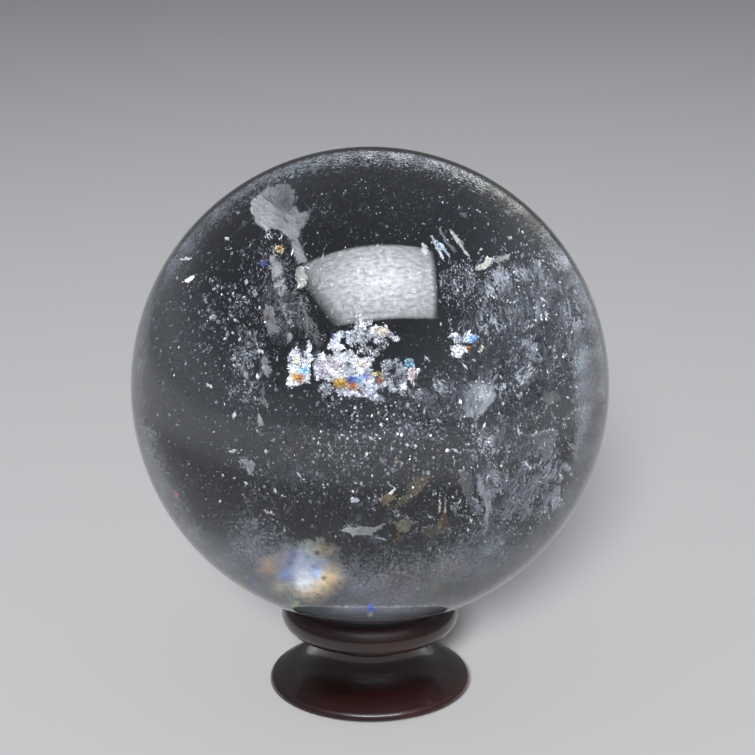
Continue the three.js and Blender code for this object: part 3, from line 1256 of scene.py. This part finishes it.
tanStains = {
    "seed": 7,
    "defaults": {
        "depth": 0.52, "tint": (0.36, 0.27, 0.16), "soft": 2.5, "ragged": 2.0, "step": 1.0,
        "grains": 0.7, "grainSize": (0.04, 0.10), "crumple": 0.001, "glow": 0.16,
    },
    "shapes": (
        {"outline": ((380, 494), (387, 495), (392, 493), (398, 496), (392, 502), (388, 507),
                     (380, 507)),
         "tint": (0.56, 0.42, 0.26), "accents": ((389, 497, 5, (0.72, 0.56, 0.36)),)},
        {"outline": ((406, 488), (412, 476), (426, 474), (431, 478), (423, 492), (410, 501),
                     (400, 504), (396, 500), (404, 494)),
         "tint": (0.42, 0.36, 0.24), "cover": 0.8,
         "accents": ((426, 478, 7, (0.52, 0.36, 0.17)),)},
        {"outline": ((439, 518), (442, 510), (446, 499), (447, 514), (452, 526), (441, 529),
                     (437, 526)),
         "tint": (0.50, 0.34, 0.19), "ragged": 1.2},
        {"outline": ((418, 528), (436, 524), (452, 526), (446, 534), (428, 538)),
         "tint": (0.44, 0.39, 0.29), "cover": 0.75},
        {"outline": ((392, 521), (404, 516), (415, 522), (410, 532), (397, 535)),
         "tint": (0.43, 0.39, 0.28), "cover": 0.72},
        {"outline": ((380, 506), (398, 502), (412, 498), (404, 506), (388, 512)),
         "tint": (0.36, 0.30, 0.20), "cover": 0.6},
        {"outline": ((396, 534), (399, 533), (400, 539), (397, 541)),
         "tint": (0.42, 0.20, 0.05), "grains": 2.0},
        {"outline": ((171, 491), (176, 489), (181, 494), (178, 500), (172, 499)),
         "tint": (0.34, 0.08, 0.07), "cover": 0.7, "depth": 0.3},
        {"outline": ((282, 449), (290, 447), (298, 450), (294, 453), (284, 452)),
         "tint": (0.26, 0.15, 0.17), "cover": 0.6},
    ),
}

# The bright fracture: silvery white, with thin-film colours; its glow and glints are painted light, for
# the lamps' reflection in its faces

silver = (0.94, 0.95, 0.99)
deepBlue = (0.04, 0.10, 0.75)
skyBlue = (0.30, 0.70, 1.0)
gold = (0.95, 0.62, 0.06)
orange = (0.90, 0.30, 0.06)
cream = (1.0, 0.90, 0.74)
brightFracture = {
    "seed": 8,
    "defaults": {
        "depth": 0.42, "tint": silver, "soft": 1.6, "ragged": 1.8, "step": 0.9,
        "crumple": 0.006, "cover": 0.64, "grains": 2.1, "grainSize": (0.03, 0.13),
        "grainStretch": (0.8, 3.2), "leanSpread": 60.0, "crowding": 0.26,
        "shades": (0.25, 1.6), "paintedGlint": 0.38, "glow": 0.25,
    },
    "shapes": (
        {"outline": (
            (286, 381), (289, 373), (288, 358), (292, 351), (296, 341), (299, 343), (299, 351),
            (303, 356), (305, 348), (309, 339), (312, 346), (310, 352), (314, 358), (310, 364),
            (311, 371), (309, 384), (303, 383), (294, 388), (288, 386),
        ),
         "accents": ((304, 371, 6, skyBlue), (300, 378, 6, orange), (295, 377, 4.5, gold),
                     (292, 346, 4, (0.5, 0.6, 0.9)), (301, 353, 4, (0.35, 0.3, 0.5)),
                     (297, 360, 4, (0.95, 0.9, 0.6)))},
        {"outline": (
            (312, 366), (315, 358), (322, 352), (330, 355), (337, 352), (346, 349), (353, 351),
            (359, 358), (369, 356), (376, 354), (372, 362), (371, 371), (380, 369), (385, 376),
            (388, 386), (381, 389), (372, 394), (363, 398), (353, 397), (342, 395), (334, 392),
            (334, 383), (328, 379), (320, 381), (314, 380),
        ),
         "glow": 0.42, "crowding": 0.32,
         "accents": (
             (331, 366, 13, (1.0, 0.94, 0.98)), (338, 383, 6.5, gold), (344, 383, 6, gold),
             (352, 380, 5.5, deepBlue), (359, 380, 4.5, skyBlue), (353, 386, 5.5, orange),
             (363, 364, 5, cream), (379, 372, 6.5, (0.98, 0.80, 0.15)), (380, 380, 4.5, orange),
             (366, 376, 4, (0.35, 0.35, 0.85)), (349, 364, 3.5, (0.2, 0.22, 0.3)),
         )},
        {"outline": ((327, 348), (332, 339), (338, 329), (343, 329), (345, 335), (338, 342),
                     (345, 347), (341, 351), (334, 350)),
         "accents": ((331, 336, 5, (0.25, 0.4, 0.8)),)},
        {"outline": ((346, 331), (352, 331), (354, 340), (350, 345), (346, 340)),
         "tint": (0.82, 0.88, 1.0)},
        {"outline": ((355, 316), (362, 313), (370, 316), (373, 322), (366, 328), (362, 342),
                     (357, 342), (357, 328)),
         "tint": (0.78, 0.79, 0.80), "grains": 1.2, "cover": 0.5},
        {"outline": ((369, 327), (376, 324), (387, 326), (394, 333), (400, 340), (394, 341),
                     (387, 336), (379, 338), (372, 334)),
         "accents": ((378, 331, 6, cream), (386, 331, 6, (1.0, 0.84, 0.72)))},
        {"outline": ((404, 360), (409, 358), (415, 361), (414, 367), (405, 368)),
         "tint": (0.55, 0.85, 1.0), "accents": ((409, 363, 2.5, (0.1, 0.15, 0.3)),)},
        {"outline": ((408, 368), (415, 367), (417, 376), (412, 383), (408, 378)),
         "tint": (0.98, 0.88, 0.86)},
        {"outline": ((398, 384), (406, 382), (407, 389), (400, 391))},
        {"outline": ((415, 375), (420, 365), (426, 356), (428, 358), (421, 370)),
         "tint": (0.72, 0.74, 0.78), "cover": 0.4},
        {"outline": ((380, 362), (398, 358), (408, 372), (406, 396), (390, 392), (384, 376)),
         "tint": (0.64, 0.66, 0.70), "cover": 0.4, "grains": 1.5},
        {"outline": ((366, 389), (378, 390), (386, 402), (376, 402), (366, 397)),
         "tint": (0.88, 0.90, 0.98)},
        {"outline": ((350, 326), (372, 328), (390, 344), (378, 357), (356, 352), (346, 342)),
         "tint": (0.66, 0.67, 0.70), "cover": 0.35, "grains": 1.4},
        {"outline": ((316, 382), (330, 382), (334, 392), (326, 396), (318, 390)),
         "tint": (0.70, 0.74, 0.78), "cover": 0.3, "grains": 1.2},
        {"outline": ((450, 346), (456, 344), (464, 345), (468, 350), (462, 358), (454, 359)),
         "accents": ((470, 348, 4, orange),)},
        {"outline": ((449, 337), (454, 331), (460, 335), (467, 331), (479, 336), (477, 344),
                     (466, 342), (458, 345)),
         "grains": 1.8, "cover": 0.5, "tint": (0.86, 0.89, 0.96), "crowding": 0.2,
         "accents": ((474, 340, 7, (0.2, 0.5, 1.0)), (458, 338, 4, (0.4, 0.42, 0.46)))},
        {"outline": ((464, 350), (470, 346), (474, 348), (472, 352), (466, 353)),
         "tint": (0.68, 0.30, 0.11), "crowding": 0.1},
        {"outline": ((477, 354), (480, 348), (483, 344), (482, 350), (479, 356)),
         "tint": (0.98, 0.96, 0.78)},
        {"outline": ((275, 247), (279, 245), (284, 249), (282, 253), (277, 252)),
         "tint": (0.85, 0.78, 0.42), "ragged": 1.0,
         "accents": ((282, 247, 4, orange), (279, 249, 2.5, (0.06, 0.08, 0.16)))},
        {"outline": ((259, 262), (266, 258), (268, 264), (262, 267)), "tint": (0.16, 0.23, 0.62)},
    ),
}

# The soft rainbow near the bottom: painted light, a film with a painted glow whose tints stand for
# light that the ball gathers there

paintedRainbowLight = {
    "seed": 9,
    "defaults": {
        "depth": 0.10, "soft": 12.0, "ragged": 3.0, "step": 1.2, "cover": 0.9,
        "tint": (0.30, 0.31, 0.33), "ripple": 0.01, "anySlant": 0.0, "glow": 0.4,
    },
    "shapes": (
        {"outline": (
            (242, 568), (256, 546), (280, 536), (300, 526), (324, 526), (344, 542), (358, 564),
            (360, 586), (346, 604), (320, 612), (292, 610), (266, 602), (248, 588),
        ),
         "soft": 30.0, "cover": 1.5, "tint": (0.12, 0.13, 0.15), "blend": 1.2,
         "accents": (
             (268, 562, 24, (0.24, 0.19, 0.13)), (264, 568, 13, (0.27, 0.18, 0.12)),
             (280, 552, 14, (0.22, 0.20, 0.25)), (314, 548, 22, (0.20, 0.22, 0.17)),
             (328, 548, 16, (0.24, 0.18, 0.11)), (300, 562, 22, (0.28, 0.31, 0.42)),
             (318, 572, 18, (0.26, 0.34, 0.54)), (330, 580, 22, (0.54, 0.40, 0.19)),
             (310, 593, 26, (0.74, 0.62, 0.40)), (303, 576, 20, (0.44, 0.48, 0.58)),
             (305, 581, 13, (0.66, 0.68, 0.72)), (316, 573, 8, (0.32, 0.42, 0.68)),
             (286, 575, 12, (0.15, 0.21, 0.42)), (290, 563, 8, (0.06, 0.08, 0.16)),
             (294, 555, 7, (0.07, 0.09, 0.18)), (280, 590, 15, (0.44, 0.42, 0.33)),
             (317, 553, 4, (0.02, 0.03, 0.02)), (324, 578, 4, (0.02, 0.02, 0.04)),
             (307, 557, 5, (0.10, 0.13, 0.18)), (316, 567, 5, (0.14, 0.20, 0.36)),
         )},
        {"outline": ((284, 594), (293, 592), (301, 600), (300, 608), (292, 611), (286, 603)),
         "soft": 4.0,
         "accents": ((289, 599, 6, (0.20, 0.80, 0.86)), (297, 604, 5, (0.72, 0.88, 0.20)),
                     (294, 609, 4, (0.92, 0.56, 0.20)))},
        {"outline": ((365, 601), (374, 600), (378, 608), (375, 617), (367, 618), (364, 610)),
         "soft": 2.5,
         "accents": ((371, 607, 7, (0.04, 0.18, 0.90)), (371, 616, 4, (0.92, 0.90, 0.66)),
                     (376, 606, 3, (0.70, 0.44, 0.30)))},
        {"outline": ((248, 574), (255, 577), (260, 586), (256, 592), (249, 584)),
         "soft": 4.0, "accents": ((255, 584, 7, (0.10, 0.22, 0.62)),)},
        {"outline": ((238, 572), (246, 575), (250, 582), (243, 580)), "soft": 2.0,
         "tint": (0.55, 0.57, 0.66)},
    ),
}

# Loose specks and dashes through the whole stone

looseSpecks = {
    "seed": 5,
    "zones": (
        # middle and spread in pixels, how many, largest size in millimetres, how long and how
        # bright at most, and how far they lean in degrees
        {"x": 375, "y": 440, "wide": 48, "tall": 36, "count": 2200, "largest": 0.22,
         "stretch": 2.2, "bright": 1.1},
        {"x": 410, "y": 425, "wide": 30, "tall": 16, "count": 800, "largest": 0.24,
         "stretch": 1.8, "bright": 1.2},
        {"x": 525, "y": 320, "wide": 36, "tall": 52, "count": 1800, "largest": 0.18,
         "stretch": 3.5, "bright": 1.2},
        {"x": 500, "y": 450, "wide": 48, "tall": 42, "count": 1500, "largest": 0.16,
         "stretch": 4.0, "bright": 1.1},
        {"x": 242, "y": 340, "wide": 16, "tall": 42, "count": 500, "largest": 0.30,
         "stretch": 2.0, "bright": 1.2},
        {"x": 296, "y": 300, "wide": 20, "tall": 50, "count": 400, "largest": 0.14,
         "stretch": 4.0, "bright": 0.8},
        {"x": 200, "y": 330, "wide": 30, "tall": 60, "count": 260, "largest": 0.18,
         "stretch": 2.0, "bright": 1.0},
        {"x": 270, "y": 470, "wide": 60, "tall": 50, "count": 1200, "largest": 0.16,
         "stretch": 1.8, "bright": 0.7},
        {"x": 375, "y": 210, "wide": 60, "tall": 26, "count": 500, "largest": 0.12,
         "stretch": 2.0, "bright": 0.7, "lean": 14},
        {"x": 470, "y": 540, "wide": 70, "tall": 26, "count": 700, "largest": 0.12,
         "stretch": 3.0, "bright": 0.6},
        {"x": 370, "y": 386, "wide": 120, "tall": 120, "count": 2600, "largest": 0.12,
         "stretch": 2.2, "bright": 0.7},
        {"x": 366, "y": 282, "wide": 34, "tall": 18, "count": 240, "largest": 0.08,
         "stretch": 2.4, "bright": 1.3, "lean": -20},
    ),
    "smallest": 0.035,
    "smallBias": 4,  # above 1, small specks outnumber large ones, and so on
    "dimmest": 0.16,
    "dimBias": 1.6,
    "shortest": 0.8,
    "shortBias": 2,
    "flat": 0.7,  # thickness against width
    "leanSpread": 28,
    "warmth": 0.04,  # how far their colour goes to warm or cool
    "blue": 1.03,
    "paintedGlintStart": 0.70,  # lighter specks than this get a painted glint
    "paintedGlintGain": 1.5,
    "faintest": 0.02,  # painted glow of the others
    "rim": 0.93,  # share of the outline that they keep within
    "crowd": 0.07,  # crowds on a pixel
    "crowdFrom": (-0.5, 0.3),
    "depth": 0.5,
    "depthSpread": 0.16,
    "shallowest": 0.07,
    "deepest": 0.93,
}


def makeSpecks(tree, finish):
    facts = looseSpecks
    draw = random.Random(facts["seed"])
    grains = []
    for zone in facts["zones"]:
        made = 0
        while made < zone["count"]:
            x, y = draw.gauss(zone["x"], zone["wide"]), draw.gauss(zone["y"], zone["tall"])
            crowd = noise.noise(Vector((x, y, zone["x"])) * facts["crowd"])
            if outwardShare(x, y) > facts["rim"] or crowd < draw.uniform(*facts["crowdFrom"]):
                continue
            made += 1
            size = draw.random() ** facts["smallBias"] * zone["largest"] + facts["smallest"]
            light = max(facts["dimmest"], zone["bright"] * draw.random() ** facts["dimBias"])
            warm = draw.uniform(-facts["warmth"], facts["warmth"])
            tint = (light + warm, light, light * facts["blue"] - warm)
            depth = max(facts["shallowest"], draw.gauss(facts["depth"], facts["depthSpread"]))
            place = placeInStone(x, y, min(facts["deepest"], depth))
            longer = (zone["stretch"] - facts["shortest"]) * draw.random() ** facts["shortBias"]
            stretch = facts["shortest"] + longer
            lean = draw.gauss(zone.get("lean", 0), facts["leanSpread"])
            paintedGlint = max(facts["faintest"], (light - facts["paintedGlintStart"]) * facts["paintedGlintGain"])
            grains.append(newGrain(draw, place, tint, size, stretch, lean, facts["flat"], paintedGlint))
    growCrystals("loose_specks", grains, tree, finish)


def placeRoom():
    makeCamera()
    makeSurround()
    floor = makeFloor()
    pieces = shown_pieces()
    flaws = [piece for piece in pieces if piece.name not in ("clear_ball", "lacquered_stand")]
    makeLamp("frontLamp", frontLamp, [floor])
    makeLamp("flawLamp", flawLamp, flaws)
    makeLamp("rearLamp", rearLamp, flaws)
    softenLamp(makeLamp("overheadLamp", overheadLamp, pieces))


def makeFlaws():
    tree = crystalTree()
    pale = crystalFinish("paleCrystal", 0.3)
    silvery = crystalFinish("silverCrystal", 0.2)
    tall = (1, 1, 0.35)
    plume = filmFinish(
        "plumeFilm", opacity=0.85, grain=2600.0, gain=3.0, contrast=0.5, stretch=tall
    )
    veil = filmFinish("veilFilm", gain=7.0, contrast=1.6, stretch=tall)
    frost = filmFinish(
        "frostFilm", opacity=0.8, grain=2300.0, gain=11.0, contrast=2.0, stretch=tall
    )
    haze = filmFinish("hazeFilm", grain=2800.0, gain=2.3, contrast=1.3, patchy=0.15, hues=0.35)
    flake = filmFinish("flakeFilm", opacity=1.0, contrast=0.9)
    stain = filmFinish("stainFilm", contrast=1.4)
    silverWhite = filmFinish("silverFilm", grain=2200.0, contrast=1.8)
    rainbow = filmFinish("paintedRainbowGlow", grain=900.0, gain=1.8, contrast=0.5)
    finishFilms("plume_veil", plumeVeil, plume, pale, tree)
    finishFilms("left_veils", leftVeils, veil, pale, tree)
    finishFilms("right_veils", rightVeils, veil, pale, tree)
    finishFilms("frost_veils", frostVeils, frost, pale, tree)
    finishFilms("rim_haze", rimHaze, haze, pale, tree)
    finishFilms("pale_flakes", paleFlakes, flake, pale, tree)
    finishFilms("tan_stains", tanStains, stain, pale, tree)
    finishFilms("bright_fracture", brightFracture, silverWhite, silvery, tree)
    finishFilms("painted_rainbow_light", paintedRainbowLight, rainbow, pale, tree)
    makeSpecks(tree, pale)


lightPaths = {  # how often light may meet a surface, and go through quartz or a film
    "any": 16,
    "quartz": 12,
    "film": 40,
}


def setLook():
    scene = bpy.context.scene
    scene.cycles.caustics_refractive = False
    scene.cycles.caustics_reflective = False
    scene.cycles.max_bounces = lightPaths["any"]
    scene.cycles.transmission_bounces = lightPaths["quartz"]
    scene.cycles.transparent_max_bounces = lightPaths["film"]
    scene.view_settings.view_transform = "Standard"


makeBall()
makeStand()
makeFlaws()
placeRoom()
setLook()
